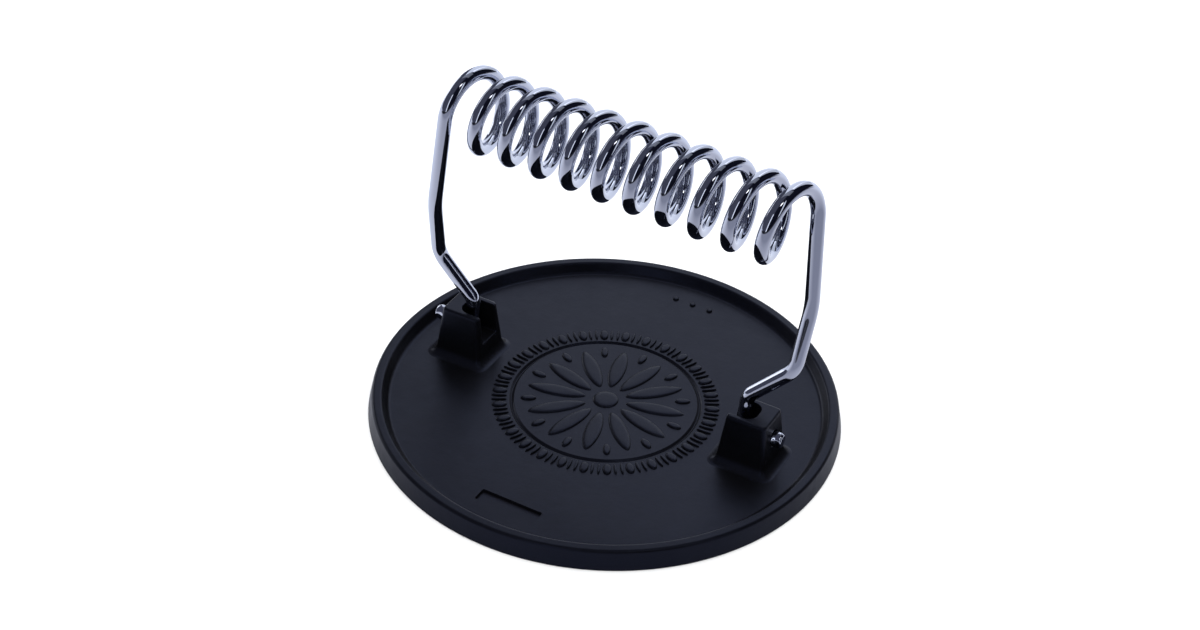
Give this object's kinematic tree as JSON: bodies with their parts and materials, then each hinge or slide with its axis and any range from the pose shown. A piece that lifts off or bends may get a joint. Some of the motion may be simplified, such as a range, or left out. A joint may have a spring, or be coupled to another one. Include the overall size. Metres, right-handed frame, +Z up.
{
  "type": "burger press",
  "caption": "Round cast-iron press plate with a raised rim, a relief rosette in a bead-and-reel band, and two lugs that carry a handle wound from chromed steel wire.",
  "frame": {"origin": "centre of the plate's flat underside, which rests on the food or the table", "axes": "+Z up out of the underside, +X along the line between the lugs that the handle pivots on, +Y away from the oblong recess"},
  "size_m": [0.1898, 0.1898, 0.1301],
  "materials": {
    "cast_iron": "seasoned matte black, fine cast grain",
    "chromed_wire": "bright chrome plate on round steel wire"
  },
  "bodies": {
    "plate": {"press_plate": "cast_iron"},
    "handle": {"coil_handle": "chromed_wire"}
  },
  "joints": [
    {"name": "handle_rock", "type": "hinge", "parent": "plate", "child": "handle", "pos_m": [0, 0, 0.0171], "axis": [1, 0, 0], "range_deg": [0, 8.6]}
  ]
}
